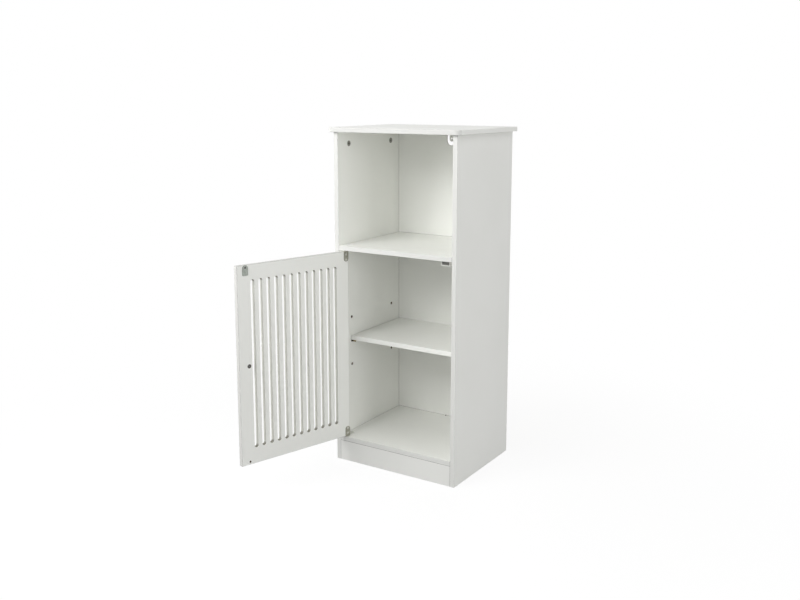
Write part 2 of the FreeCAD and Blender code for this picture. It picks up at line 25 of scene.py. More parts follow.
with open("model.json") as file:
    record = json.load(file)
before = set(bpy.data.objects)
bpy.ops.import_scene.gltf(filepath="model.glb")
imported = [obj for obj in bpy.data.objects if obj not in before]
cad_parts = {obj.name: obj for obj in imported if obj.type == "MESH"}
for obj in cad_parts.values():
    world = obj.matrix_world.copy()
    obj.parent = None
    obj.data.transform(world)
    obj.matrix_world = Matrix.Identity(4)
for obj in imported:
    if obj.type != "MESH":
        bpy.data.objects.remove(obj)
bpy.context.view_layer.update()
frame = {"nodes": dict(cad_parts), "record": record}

MM = 0.001
NODES = frame["nodes"]
DOOR_HINGE = next(j for j in frame["record"]["behaviour"]["joints"] if j["name"] == "door_hinge")
PIVOT = Vector(DOOR_HINGE["pos_m"])
DOOR_OPEN = math.radians(-DOOR_HINGE["range_deg"][0])

# Boards
SKIN = 0.3 * MM  # below a board's face, where its bores and grooves begin
EASED_SKIN = 0.6 * MM  # the same under the top's rounded edges
CLOUDING = 0.6  # how much of its shade shows in a face's clouded patches
TONE_SHADE = 0.98  # shade of a face that has a tone of its own
JOINT_SHADE_SHOWS = 0.85  # how dark the painted shade line is where boards meet
SEAM_SHOWS = 0.45  # how dark the glue line of an edge band is
SHADE_RAGGED = 0.9 * MM  # how ragged the painted shade rings around the pin holes are
RAW_ROUGHNESS = 0.9
RAW_RELIEF = 4.0  # raw fibres against the pebbled grain

# Door
DOOR_RIM = 12 * MM  # border of the door that holds no slot
DOOR_EASING = 0.9 * MM  # width of the door's eased edges
BEYOND = 10 * MM  # so far past its faces, a box holds them too
END_SHADE_BEFORE, END_SHADE_AFTER = 2 * MM, 3 * MM  # about a slot end, where the painted shade begins

# Back panel
FOIL = 0.2 * MM  # thickness of the foil
REAR_SKIN = 0.05 * MM
REAR_ROUGHNESS = 0.85
SCREEN_TURN = 0.785  # the wires of the screen run at 45 degrees
SCREEN_RELIEF = 6.0  # the screen's print against the pebbled grain

# Metal: how fine its streaks are along X, Y and Z, and its edges
ALONG_X, ALONG_Y, ALONG_Z = (60, 900, 900), (900, 60, 900), (900, 900, 60)
EVEN = (700, 700, 700)
RUBBED = 0.5 * MM  # width of a bright edge
DARKENED = 1.4 * MM  # width of a darkened edge
METAL_RELIEF = 0.008 * MM

# Cam locks: groove, drawn in painted shade, and rim as shares of their radius, and the arrow's edges about
# their axis
CAM_GROOVE = (0.72, 0.76)
CAM_RIM = (0.83, 0.86)
CAM_RELIEF = 20.0  # rim and arrow against the cast grain
ARROW_SLOPE = 1.7
ARROW_TIP = 5.4 * MM
ARROW_FOOT = 3.9 * MM

# Where the lamps stand, what they look at, the side of each and the setting that holds its power
UPPER, MIDDLE = (0, 0.1, 0.55), (0, 0.1, 0.45)
LAMPS = {
    "front_lamp": ((-0.4, -1.85, 1.85), UPPER, 0.9, "front"),
    "left_lamp": ((-1.16, -1.65, 1.4), UPPER, 0.9, "left"),
    "low_lamp": ((1.1, -1.6, 1.1), UPPER, 0.9, "low"),
    "right_lamp": ((3.44, -0.82, 0.95), MIDDLE, 1.6, "right"),
    "rear_lamp": ((2.24, 0.70, 3.21), MIDDLE, 1.6, "rear"),
    "side_lamp": ((-3.44, -0.82, 0.95), MIDDLE, 1.6, "side"),
    "back_lamp": ((-0.35, 3.0, 0.42), MIDDLE, 0.8, "back"),
}


# ---- settings ----

def colour(name, description, default):
    return FloatVectorProperty(name=name, description=description, default=default, subtype="COLOR",
                               size=3, min=0, max=1)


def length(name, description, default):
    return FloatProperty(name=name, description=description, default=default, unit="LENGTH", min=0,
                         precision=5)


def angle(name, description, default):
    return FloatProperty(name=name, description=description, default=math.radians(default), subtype="ANGLE")


def power(name, description, default):
    return FloatProperty(name=name, description=description, default=default, subtype="POWER", min=0)


def share(name, description, default):
    return FloatProperty(name=name, description=description, default=default, subtype="FACTOR", min=0, max=1)


class CabinetBoards(bpy.types.PropertyGroup):
    """Colours and surface of the boards."""
    white: colour("Laminate", "White of the laminated faces", (0.903, 0.908, 0.872))
    shade: colour("Laminate shade", "Slightly darker tone that clouds the laminate", (0.885, 0.891, 0.853))
    # Edge band: a tone partly of its own, partly painted shade that tones down the light on the front edges.
    edge: colour("Edge band", "Slightly greyer white of the edge bands", (0.705, 0.707, 0.683))
    # Top edge: painted shade on the top's faces turned to the front.
    top_edge_shade: colour("Top edge", "Slightly greyer white along the top's front edge", (0.655, 0.657, 0.635))
    # Plinth: painted shade, darker for the weaker light low down.
    plinth: colour("Plinth", "Slightly greyer white of the plinth's face", (0.78, 0.783, 0.755))
    # Door edge: painted shade on the door's edges.
    door_edge_shade: colour("Door edge", "Painted edges of the door", (0.58, 0.582, 0.56))
    seam: colour("Band seam", "Glue line between a face and its edge band", (0.52, 0.49, 0.43))
    core: colour("Core", "Fibreboard that shows on unbanded edges", (0.36, 0.26, 0.16))
    core_dark: colour("Core fibre", "Darker fibres of the core", (0.20, 0.13, 0.08))
    # Bore: near-black painted shade in bores and grooves.
    bore_shade: colour("Bore", "Fibreboard browned by the drill, in bores and grooves", (0.050, 0.036, 0.024))
    # Joint: painted shade of the narrow gap where two boards meet.
    joint_shade: colour("Joint", "Fine dark line where two boards meet", (0.09, 0.08, 0.065))
    # Slot wall: painted shade on the walls of the door's slots.
    slot_wall_shade: colour("Slot wall", "Painted walls of the door's slots", (0.72, 0.72, 0.67))
    # Slot end: painted shade in the slots' round ends.
    slot_end_shade: colour("Slot end", "Round ends of the slots, where the paint is thin", (0.235, 0.24, 0.195))
    roughness: share("Roughness", "Roughness of the laminate", 0.42)
    pebble: length("Pebble", "Size of the laminate's fine pebbled grain", 0.0009)
    pebble_depth: length("Pebble depth", "Height of the pebbled grain", 0.000018)
    band: length("Band thickness", "Thickness of the front edge bands", 0.0010)
    seam_width: length("Seam width", "Width of the glue line", 0.00022)
    slot_foot: length("Slot foot", "From the door's lower edge to the slots' straight part", 0.0445)
    slot_head: length("Slot head", "From the door's upper edge to the slots' straight part", 0.0415)
    knob_inset: length("Knob inset", "From the door's free edge to the knob's axis", 0.0274)
    knob_height: length("Knob height", "Height of the knob's axis above the floor", 0.3125)
    knob_recess: length("Knob recess", "Radius of the recess around the knob's screw", 0.00505)
    pilot_inset: length("Pilot inset", "From the door's free edge to the spare pilot hole", 0.0228)
    # Pilot rim: radius of a near-black ring of painted shade about the spare pilot hole.
    pilot_height: length("Pilot height", "From the door's lower edge to the spare pilot hole", 0.007)
    pilot_shade_radius: length("Pilot rim", "Radius of the broken rim of the spare pilot hole", 0.0027)
    pin_pitch: length("Pin hole pitch", "From one shelf pin hole to the next above it", 0.064)
    # Pin hole rim: radius of the painted shade rings about the shelf pin holes.
    pin_hole_shade_radius: length("Pin hole rim", "Radius of the broken rim of the shelf pin holes", 0.0038)
    # Joint width: width of the painted shade line at the joints.
    joint_shade_width: length("Joint width", "Width of the dark line between two boards", 0.0008)


class CabinetBack(bpy.types.PropertyGroup):
    """Colours of the thin back panel."""
    foil: colour("Foil", "White foil on the inner face", (0.900, 0.907, 0.870))
    board: colour("Hardboard", "Raw rear face", (0.43, 0.31, 0.19))
    board_dark: colour("Hardboard fibre", "Darker fibres of the rear face", (0.27, 0.18, 0.10))
    # Cut edge: raw brown, darkened further with painted shade.
    cut: colour("Cut edge", "Edge of the hardboard, as in its notch", (0.16, 0.115, 0.075))
    screen: length("Screen", "Pitch of the wire screen's print on the rear face", 0.0016)


class CabinetFittings(bpy.types.PropertyGroup):
    """Colours of the metal and plastic fittings."""
    zinc: colour("Cam zinc", "Die-cast middle of the cam locks", (0.40, 0.39, 0.35))
    # Cam recess: near-black painted shade in the driver recess and ring.
    cam_recess_shade: colour("Cam recess", "Dark driver recess and ring of the cam locks", (0.035, 0.033, 0.029))
    zinc_rim: colour("Cam rim", "Rubbed rim and arrow of the cam locks", (0.50, 0.49, 0.45))
    cam_radius: length("Cam radius", "Radius of the cam locks", 0.0074)
    cross_length: length("Cross length", "Length of the cam locks' driver recess", 0.007)
    cross_width: length("Cross width", "Width of the cam locks' driver recess", 0.0016)
    hinge: colour("Hinge steel", "Dull sheet of the hinge leaves on the door", (0.44, 0.435, 0.375))
    # Hinge edge: darker edges of the hinge leaves on the door.
    hinge_rim: colour("Hinge edge", "Browned edges of the hinge leaves on the door", (0.11, 0.09, 0.06))
    # Bright hinge steel: painted light, the same steel as the door leaves made paler.
    hinge_lit: colour("Bright hinge steel", "Bright sheet of the hinge leaves in the cabinet",
                         (0.74, 0.74, 0.70))
    strike: colour("Strike steel", "Satin sheet of the strike plate", (0.31, 0.335, 0.305))
    # Strike edge: painted shade on the strike plate's edges.
    strike_edge_shade: colour("Strike edge", "Dark edges of the strike plate", (0.12, 0.13, 0.12))
    screw: colour("Screw steel", "Bright zinc of screws and bolts", (0.80, 0.79, 0.76))
    screw_dark: colour("Dark screw", "Blackened screw of the strike plate", (0.12, 0.122, 0.115))
    # Knob screw: painted shade, the screw darkened to the shade of its recess.
    knob_screw: colour("Knob screw", "Dull steel of the knob's screw", (0.115, 0.113, 0.107))
    pin: colour("Shelf pin", "Yellow zinc of the shelf pins", (0.46, 0.36, 0.19))
    pin_bright: length("Bright pin", "How far from the cabinet's middle the shelf pins stay bright", 0.1565)
    # Shelf pin foot: darker foot of the shelf pins, at the wall.
    pin_dark: colour("Shelf pin foot", "Tarnished foot of the shelf pins, at the wall", (0.06, 0.045, 0.03))
    magnet: colour("Magnet", "Ferrite block", (0.17, 0.17, 0.155))
    pole: colour("Pole plate", "Mild steel beside the magnet", (0.30, 0.30, 0.275))
    plastic: colour("Catch plastic", "Moulded case of the catch", (0.86, 0.86, 0.82))
    coat: colour("Bracket coat", "White powder coat of the wall bracket", (0.76, 0.76, 0.73))
    nickel: colour("Knob nickel", "Satin nickel of the knob", (0.44, 0.425, 0.395))
    turning: length("Turning", "Pitch of the fine rings that the lathe leaves on the knob", 0.0004)
    beech: colour("Beech", "Dowel wood", (0.60, 0.42, 0.24))
    beech_dark: colour("Beech ray", "Darker rays of the dowel wood", (0.40, 0.25, 0.13))


class CabinetStudio(bpy.types.PropertyGroup):
    """Camera, lamps and floor."""
    focal: length("Focal length", "Lens, with a sensor 36 mm wide", 0.04134)
    shift: FloatProperty(name="Shift", description="Vertical shift of the lens, in image widths",
                         default=-0.06)
    camera_place: FloatVectorProperty(name="Camera place", description="Where the camera stands",
                                      default=(1.2102, -1.8639, 0.9477), subtype="TRANSLATION", unit="LENGTH")
    camera_turn: angle("Camera turn", "Turn of the view to the left", 32.644)
    camera_dip: angle("Camera dip", "Dip of the view below the horizon", 9.665)
    floor_colour: colour("Floor", "Grey that the floor throws back onto the cabinet", (0.30, 0.30, 0.30))
    floor_size: length("Floor size", "Side of the floor", 60.0)
    floor_shade: share("Floor shade", "Share of the cabinet's shadow that shows on the white floor", 0.12)
    shade_full: length("Full shade", "How far from the cabinet its shadow shows in full", 0.3)
    shade_reach: length("Shade reach", "How far from the cabinet the floor turns plain white", 1.3)
    sky: FloatProperty(name="Sky", description="Strength of the even light from all round", default=0.33,
                       min=0)
    front: power("Front lamp", "Lamp in front, above the camera's left", 18.5)
    left: power("Left lamp", "Lamp in front, on the left", 22)
    low: power("Low lamp", "Small low lamp in front on the right", 4.2)
    right: power("Right lamp", "Large lamp low on the right", 33)
    rear: power("Rear lamp", "Large lamp high behind the right side", 17)
    side: power("Side lamp", "Large lamp low on the left", 34)
    back: power("Back lamp", "Low lamp behind the cabinet", 36)


# ---- node helpers ----

class Nodes:
    """Adds and links the nodes of one tree."""

    def __init__(self, tree):
        self.tree = tree
        tree.nodes.clear()

    def feed(self, socket, value):
        """Links an output to the socket, or sets its value."""
        if isinstance(value, bpy.types.NodeSocket):
            self.tree.links.new(value, socket)
        elif socket.type == "RGBA" and len(value) == 3:
            socket.default_value = (*value, 1)
        else:
            socket.default_value = value

    def add(self, kind, inputs=None, **settings):
        node = self.tree.nodes.new("ShaderNode" + kind)
        for name, value in settings.items():
            setattr(node, name, value)
        for name, value in (inputs or {}).items():
            self.feed(node.inputs[name], value)
        return node

    def math(self, operation, first, second=0.0, third=0.0):
        """One step of arithmetic. The third value counts in MULTIPLY_ADD alone."""
        node = self.add("Math", {0: first, 1: second, 2: third}, operation=operation)
        return node.outputs[0]

    def blend(self, factor, first, second):
        """The first colour where the factor is 0, and the second where it is 1."""
        node = self.add("Mix", {0: factor, 6: first, 7: second}, data_type="RGBA", clamp_factor=True)
        return node.outputs[2]

    def spread(self, value, low, high, to_low=0.0, to_high=1.0):
        """The value carried smoothly from one range to another, and held at its ends."""
        sockets = {"Value": value, "From Min": low, "From Max": high, "To Min": to_low, "To Max": to_high}
        return self.add("MapRange", sockets, interpolation_type="SMOOTHSTEP").outputs[0]

    def noise(self, place, scale, detail=2.0, roughness=0.5):
        sockets = {"Vector": place, "Scale": scale, "Detail": detail, "Roughness": roughness}
        return self.add("TexNoise", sockets).outputs["Fac"]

    def place(self):
        """Where a point lies on the piece, in metres."""
        return self.add("TexCoord").outputs["Object"]

    def split(self, vector):
        return self.add("SeparateXYZ", {0: vector}).outputs

    def group(self, tree, inputs=None):
        """The outputs of a shader group placed in this tree."""
        node = self.tree.nodes.new("ShaderNodeGroup")
        node.node_tree = tree
        for name, value in (inputs or {}).items():
            self.feed(node.inputs[name], value)
        return node.outputs


def new_group(name, inputs, outputs):
    """An empty shader group with the named sockets, and its nodes, inputs and output node."""
    tree = bpy.data.node_groups.new(name, "ShaderNodeTree")
    kinds = {"value": "NodeSocketFloat", "vector": "NodeSocketVector", "colour": "NodeSocketColor"}
    for socket, (kind, default) in inputs.items():
        made = tree.interface.new_socket(name=socket, in_out="INPUT", socket_type=kinds[kind])
        made.default_value = default
    for socket, kind in outputs.items():
        tree.interface.new_socket(name=socket, in_out="OUTPUT", socket_type=kinds[kind])
    nodes = Nodes(tree)
    given = tree.nodes.new("NodeGroupInput").outputs
    result = tree.nodes.new("NodeGroupOutput").inputs
    return nodes, given, result


def shared(name, build):
    """The group of that name, built the first time it is asked for."""
    return bpy.data.node_groups.get(name) or build(name)


def build_pebble(name):
    """Fine pebbled press of melamine or moulded plastic, with a soft clouding of its tone."""
    nodes, given, result = new_group(
        name, {"Place": ("vector", (0, 0, 0)), "Pebble": ("value", 0.001)},
        {"Height": "value", "Cloud": "value"})
    scale = nodes.math("DIVIDE", 1.0, given["Pebble"])
    fine = nodes.noise(given["Place"], scale, 1.0)
    coarse = nodes.noise(given["Place"], nodes.math("MULTIPLY", scale, 0.22), 2.0)
    nodes.feed(result["Height"], nodes.math("MULTIPLY_ADD", coarse, 0.35, nodes.math("MULTIPLY", fine, 0.65)))
    cloud = nodes.noise(given["Place"], 9.0, 4.0, 0.6)
    nodes.feed(result["Cloud"], nodes.spread(cloud, 0.3, 0.72))
    return nodes.tree


def build_inside(name):
    """Mask that is 1 strictly inside a box, as on the walls of a board's bores and grooves."""
    nodes, given, result = new_group(
        name, {"Place": ("vector", (0, 0, 0)), "Low": ("vector", (0, 0, 0)), "High": ("vector", (0, 0, 0))},
        {"Mask": "value"})
    place, low, high = (nodes.split(given[socket]) for socket in ("Place", "Low", "High"))
    mask = 1.0
    for axis in range(3):
        mask = nodes.math("MULTIPLY", mask, nodes.math("GREATER_THAN", place[axis], low[axis]))
        mask = nodes.math("MULTIPLY", mask, nodes.math("LESS_THAN", place[axis], high[axis]))
    nodes.feed(result["Mask"], mask)
    return nodes.tree


def build_line(name):
    """Mask of a thin line where a value passes a mark."""
    nodes, given, result = new_group(
        name, {"Value": ("value", 0), "Mark": ("value", 0), "Width": ("value", 0.001)}, {"Mask": "value"})
    away = nodes.math("ABSOLUTE", nodes.math("SUBTRACT", given["Value"], given["Mark"]))
    near = nodes.math("DIVIDE", away, given["Width"])
    nodes.feed(result["Mask"], nodes.spread(near, 0.35, 0.65, 1.0, 0.0))
    return nodes.tree


def build_fibre(name):
    """Matted fibres of raw fibreboard."""
    nodes, given, result = new_group(
        name, {"Place": ("vector", (0, 0, 0)), "Pale": ("colour", (0.5, 0.4, 0.3, 1)),
               "Dark": ("colour", (0.3, 0.2, 0.1, 1))}, {"Colour": "colour", "Height": "value"})
    strand = nodes.add("Mapping", {"Vector": given["Place"], "Rotation": (0.4, 0.2, 0.7), "Scale": (1, 5, 2)})
    fibres = nodes.noise(strand.outputs[0], 420.0, 3.0, 0.65)
    specks = nodes.noise(given["Place"], 1500.0, 1.0)
    mottled = nodes.math("MULTIPLY_ADD", specks, 0.4, nodes.math("MULTIPLY", fibres, 0.6))
    nodes.feed(result["Colour"], nodes.blend(nodes.spread(mottled, 0.36, 0.66), given["Pale"], given["Dark"]))
    nodes.feed(result["Height"], mottled)
    return nodes.tree


def build_streaks(name):
    """Fine streaks along one direction, as rolling, brushing or turning leaves them."""
    nodes, given, result = new_group(
        name, {"Place": ("vector", (0, 0, 0)), "Stretch": ("vector", (1, 1, 1))},
        {"Height": "value", "Mask": "value"})
    drawn = nodes.add("VectorMath", {0: given["Place"], 1: given["Stretch"]}, operation="MULTIPLY").outputs[0]
    streak = nodes.noise(drawn, 1.0, 3.0, 0.6)
    blotch = nodes.noise(given["Place"], 160.0, 3.0, 0.6)
    nodes.feed(result["Height"], streak)
    mixed = nodes.math("MULTIPLY_ADD", blotch, 0.5, nodes.math("MULTIPLY", streak, 0.5))
    nodes.feed(result["Mask"], nodes.spread(mixed, 0.38, 0.64))
    return nodes.tree


def build_wear(name):
    """Mask of outer edges that are rubbed bright, broken up along their length."""
    nodes, given, result = new_group(
        name, {"Place": ("vector", (0, 0, 0)), "Radius": ("value", 0.0005)}, {"Mask": "value"})
    rounded = nodes.add("Bevel", {"Radius": given["Radius"]}, samples=4).outputs[0]
    flat = nodes.add("NewGeometry").outputs["Normal"]
    turn = nodes.add("VectorMath", {0: rounded, 1: flat}, operation="DOT_PRODUCT").outputs["Value"]
    edge = nodes.spread(turn, 0.80, 0.985, 1.0, 0.0)
    broken = nodes.spread(nodes.noise(given["Place"], 900.0, 3.0), 0.35, 0.6)
    nodes.feed(result["Mask"], nodes.math("MULTIPLY", edge, broken))
    return nodes.tree


def new_material(name, rough, metallic=0.0):
    """A material, its nodes and the inputs of its Principled shader."""
    material = bpy.data.materials.new(name)
    material.use_nodes = True
    nodes = Nodes(material.node_tree)
    shader = nodes.add("BsdfPrincipled", {"Roughness": rough, "Metallic": metallic})
    output = nodes.add("OutputMaterial")
    nodes.feed(output.inputs["Surface"], shader.outputs[0])
    return material, nodes, shader.inputs


def raise_surface(nodes, shader, height, depth):
    """Bump of that depth, in metres."""
    bump = nodes.add("Bump", {"Height": height, "Distance": depth})
    nodes.feed(shader["Normal"], bump.outputs[0])


# ---- parts of finishes ----

def pebbled(nodes, place, size):
    return nodes.group(shared("Pebbled press", build_pebble), {"Place": place, "Pebble": size})


def fibreboard(nodes, place, pale, dark):
    return nodes.group(shared("Fibreboard", build_fibre), {"Place": place, "Pale": pale, "Dark": dark})


def streaked(nodes, place, stretch):
    return nodes.group(shared("Streaks", build_streaks), {"Place": place, "Stretch": stretch})


def rubbed_edges(nodes, place, radius=RUBBED):
    return nodes.group(shared("Rubbed edges", build_wear), {"Place": place, "Radius": radius})["Mask"]


def inside_box(nodes, place, low, high):
    inside = shared("Inside of a board", build_inside)
    return nodes.group(inside, {"Place": place, "Low": low, "High": high})["Mask"]


def darker(tone, left):
    """The tone with that share of its light left."""
    return [part * left for part in tone]


def paler(tone, way):
    """The tone taken that share of the way to white."""
    return [part + (1 - part) * way for part in tone]


def clouded(nodes, pebble, tone, shade):
    """A tone with softly clouded patches of its shade."""
    return nodes.blend(nodes.math("MULTIPLY", pebble["Cloud"], CLOUDING), tone, shade)


def varied(nodes, mask, roughness, smoother=0.06, rougher=0.1):
    """Roughness that a mask carries from a bit smoother than the given value to a bit rougher."""
    return nodes.spread(mask, 0.0, 1.0, roughness - smoother, roughness + rougher)


def board_surface(nodes, shader, pebble, fibre, fibrous, raw):
    """Roughness and grain of a board, rough where it is raw and with raised fibres where they show."""
    boards = bpy.context.scene.cabinet_boards
    gloss = varied(nodes, pebble["Cloud"], boards.roughness, 0.04, 0.05)
    nodes.feed(shader["Roughness"], nodes.math("MAXIMUM", gloss, nodes.math("MULTIPLY", raw, RAW_ROUGHNESS)))
    fibres = nodes.math("MULTIPLY", fibre["Height"], fibrous)
    height = nodes.math("MULTIPLY_ADD", fibres, RAW_RELIEF, pebble["Height"])
    raise_surface(nodes, shader, height, boards.pebble_depth)


def grown(low, high, skin, sides=()):
    """The box shrunk by a skin, but grown past the given sides, -3 to 3 for the ends of X, Y and Z."""
    low, high = [edge + skin for edge in low], [edge - skin for edge in high]
    for side in sides:
        ends = low if side < 0 else high
        ends[abs(side) - 1] += math.copysign(2 * skin, side)
    return low, high


def lines(nodes, place, marks, width):
    """Mask of thin lines, each at a place on one axis, 0 to 2."""
    ordinates = nodes.split(place)
    thin_line = shared("Thin line", build_line)
    mask = 0.0
    for axis, mark in marks:
        line = nodes.group(thin_line, {"Value": ordinates[axis], "Mark": mark, "Width": width})
        mask = nodes.math("MAXIMUM", mask, line["Mask"])
    return mask


def joint_shaded(nodes, place, face, marks):
    """The face with fine lines of painted shade where other boards meet it, each at a place on one axis, 0 to
    2.
    """
    boards = bpy.context.scene.cabinet_boards
    joint_shade = lines(nodes, place, marks, boards.joint_shade_width)
    return nodes.blend(nodes.math("MULTIPLY", joint_shade, JOINT_SHADE_SHOWS), face, boards.joint_shade)


def banded(nodes, place, face, low, high, bands):
    """The face with edge bands and their glue lines along the given sides, -3 to 3."""
    boards = bpy.context.scene.cabinet_boards
    ordinates = nodes.split(place)
    for side in bands:
        axis = abs(side) - 1
        mark = low[axis] + boards.band if side < 0 else high[axis] - boards.band
        on_band = nodes.math("LESS_THAN" if side < 0 else "GREATER_THAN", ordinates[axis], mark)
        # The band's greyer tone is partly its own and partly painted shade against the lamps on the front
        # edges.
        face = nodes.blend(on_band, face, boards.edge)
        seam = lines(nodes, place, [(axis, mark)], boards.seam_width)
        face = nodes.blend(nodes.math("MULTIPLY", seam, SEAM_SHOWS), face, boards.seam)
    return face


def from_axis(nodes, across, along, centre=(0, 0)):
    """Distance from an axis."""
    first = nodes.math("SUBTRACT", across, centre[0])
    second = nodes.math("SUBTRACT", along, centre[1])
    square = nodes.math("MULTIPLY_ADD", first, first, nodes.math("MULTIPLY", second, second))
    return nodes.math("SQRT", square)


def folded(nodes, value, middle, reach):
    """Distance from two marks, each at a reach from the middle."""
    away = nodes.math("ABSOLUTE", nodes.math("SUBTRACT", value, middle))
    return nodes.math("SUBTRACT", away, reach)


def pin_hole_shade(nodes, place, low, high, grain):
    """Mask of the painted shade rings around the shelf pin holes, in two columns of three.

    The box is that of the pins, which sit in the middle row."""
    boards = bpy.context.scene.cabinet_boards
    x, y, z = nodes.split(place)
    pin_radius = (high[2] - low[2]) / 2
    column = folded(nodes, y, (low[1] + high[1]) / 2, (high[1] - low[1]) / 2 - pin_radius)
    away = nodes.math("ABSOLUTE", nodes.math("SUBTRACT", z, (low[2] + high[2]) / 2))
    row = folded(nodes, away, boards.pin_pitch / 2, boards.pin_pitch / 2)
    shade_radius = nodes.math("MULTIPLY_ADD", grain, SHADE_RAGGED, boards.pin_hole_shade_radius - SHADE_RAGGED / 2)
    near = nodes.math("LESS_THAN", from_axis(nodes, column, row), shade_radius)
    return nodes.math("MULTIPLY", near, nodes.math("LESS_THAN", nodes.math("ABSOLUTE", x), high[0]))


def shut_place(nodes, turn, shift):
    """Where a point of the open door lies when the door is shut."""
    sockets = {"Vector": nodes.place(), "Rotation": (0, 0, turn), "Location": shift}
    return nodes.add("Mapping", sockets).outputs[0]


# ---- finishes ----

def laminate(name, low, high, raw=(), joints=(), bands=(-2,), tone=None, pins=None, skin=SKIN, shade_front_faces=False):
    """White laminate on fibreboard, with raw sides, joint lines and edge bands at sides given as -3 to 3.

    The joint lines and the near-black walls of bores and grooves are painted shade. Where the box of the
    shelf pins is given, painted shade rings their holes. A board with its front faces shaded has one foil
    over its faces and rounded edges, and painted shade on the faces turned to the front."""
    boards = bpy.context.scene.cabinet_boards
    material, nodes, shader = new_material(name, boards.roughness)
    place = nodes.place()
    pebble = pebbled(nodes, place, boards.pebble)
    fibre = fibreboard(nodes, place, boards.core, boards.core_dark)
    core = inside_box(nodes, place, *grown(low, high, skin, raw))
    bore_shade = inside_box(nodes, place, *grown(low, high, skin))
    white, shade = (tone, darker(tone, TONE_SHADE)) if tone else (boards.white, boards.shade)
    face = banded(nodes, place, clouded(nodes, pebble, white, shade), low, high, bands)
    if shade_front_faces:
        # Painted shade: faces turned to the front get the greyer top edge colour.
        normal = nodes.split(nodes.add("NewGeometry").outputs["Normal"])
        forward = nodes.math("MULTIPLY", normal[1], -1.0)
        face = nodes.blend(nodes.spread(forward, 0.1, 0.6), face, boards.top_edge_shade)
    marks = [(abs(side) - 1, (low if side < 0 else high)[abs(side) - 1]) for side in joints]
    face = joint_shaded(nodes, place, face, marks)
    # Painted shade: near-black walls in bores and grooves.
    bore_shade_colour = nodes.blend(fibre["Height"], boards.bore_shade, boards.core_dark)
    # Painted shade rings around the shelf pin holes.
    if pins:
        bore_shade = nodes.math("MAXIMUM", bore_shade, pin_hole_shade(nodes, place, *pins, pebble["Height"]))
    face = nodes.blend(bore_shade, nodes.blend(core, face, fibre["Colour"]), bore_shade_colour)
    nodes.feed(shader["Base Color"], face)
    board_surface(nodes, shader, pebble, fibre, core, core)
    return material


def door_finish(name, turn, shift, low, high, slot_ends, bores):
    """Painted board, with painted shade on its edges, on the slots' walls and, mixed with a little fibre, in
    their round ends, and near-black painted shade over the raw fibre in its bores.
    """
    boards = bpy.context.scene.cabinet_boards
    material, nodes, shader = new_material(name, boards.roughness)
    place = shut_place(nodes, turn, shift)
    x, y, z = nodes.split(place)
    pebble = pebbled(nodes, place, boards.pebble)
    fibre = fibreboard(nodes, place, boards.core, boards.core_dark)
    border = Vector((DOOR_RIM, DOOR_EASING, DOOR_RIM))
    walls = inside_box(nodes, place, low + border, high - border)
    eased = Vector((DOOR_EASING, -BEYOND, DOOR_EASING))
    middle = inside_box(nodes, place, low + eased, high - eased)
    face = clouded(nodes, pebble, boards.white, boards.shade)
    # Painted shade: the door's eased edges are greyer than its faces.
    face = nodes.blend(middle, boards.door_edge_shade, face)
    # Painted shade on the slot walls.
    face = nodes.blend(walls, face, boards.slot_wall_shade)
    # Painted shade, mixed with a little fibre, in the slots' round ends.
    foot, head = slot_ends
    above = nodes.spread(z, head - END_SHADE_BEFORE, head + END_SHADE_AFTER)
    below = nodes.spread(z, foot - END_SHADE_AFTER, foot + END_SHADE_BEFORE, 1.0, 0.0)
    thin = nodes.math("MULTIPLY", walls, nodes.math("MAXIMUM", above, below))
    fibrous = nodes.blend(nodes.math("MULTIPLY", fibre["Height"], 0.3), boards.slot_end_shade, boards.core_dark)
    face = nodes.blend(thin, face, fibrous)
    # Painted shade: the knob recess and a ring about the pilot hole are near-black over the raw fibre.
    raw = 0.0
    for centre, radius in bores:
        raw = nodes.math("MAXIMUM", raw, nodes.math("LESS_THAN", from_axis(nodes, x, z, centre), radius))
    raw = nodes.math("MULTIPLY", raw, nodes.math("GREATER_THAN", y, low.y + SKIN))
    face = nodes.blend(raw, face, nodes.blend(fibre["Height"], boards.bore_shade, boards.core_dark))
    nodes.feed(shader["Base Color"], face)
    rough = nodes.math("MAXIMUM", raw, nodes.math("MULTIPLY", thin, 0.5))
    board_surface(nodes, shader, pebble, fibre, rough, rough)
    return material


